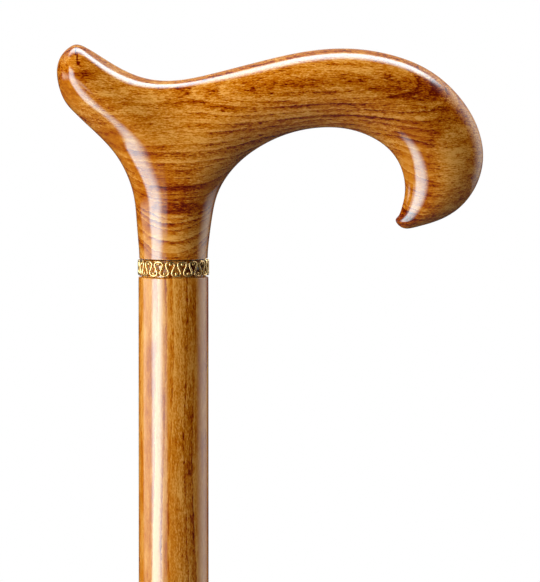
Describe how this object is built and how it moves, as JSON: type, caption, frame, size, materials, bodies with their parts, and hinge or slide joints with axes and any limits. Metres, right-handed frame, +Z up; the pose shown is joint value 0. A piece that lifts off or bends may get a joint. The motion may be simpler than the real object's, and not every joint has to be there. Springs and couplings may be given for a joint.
{
  "type": "derby cane",
  "caption": "Wooden walking cane with a derby handle, an openwork brass collar between handle and shaft, and a flared rubber ferrule that pulls off the foot",
  "frame": {"origin": "centre of the ferrule's flat tread, on the floor", "axes": "+Z runs up the shaft's axis, +X points from the shaft towards the hook of the handle, and the picture looks along +Y"},
  "size_m": [0.1277, 0.033, 0.9261],
  "materials": {
    "handle_wood": "brown-stained beech under clear gloss lacquer, grain along the grip",
    "collar_brass": "polished gilt brass",
    "shaft_wood": "brown-stained beech under clear gloss lacquer, grain along the shaft",
    "stud_steel": "plain steel",
    "ferrule_rubber": "matt black rubber",
    "washer_steel": "plain steel"
  },
  "bodies": {
    "tip": {"ferrule": "ferrule_rubber", "ferrule_washer": "washer_steel"},
    "stick": {"shaft": "shaft_wood", "collar": "collar_brass", "handle": "handle_wood", "joint_stud": "stud_steel"}
  },
  "joints": [
    {"name": "ferrule_pull", "type": "slide", "parent": "tip", "child": "stick", "axis": [0, 0, 1], "range_m": [0, 0.045]}
  ]
}
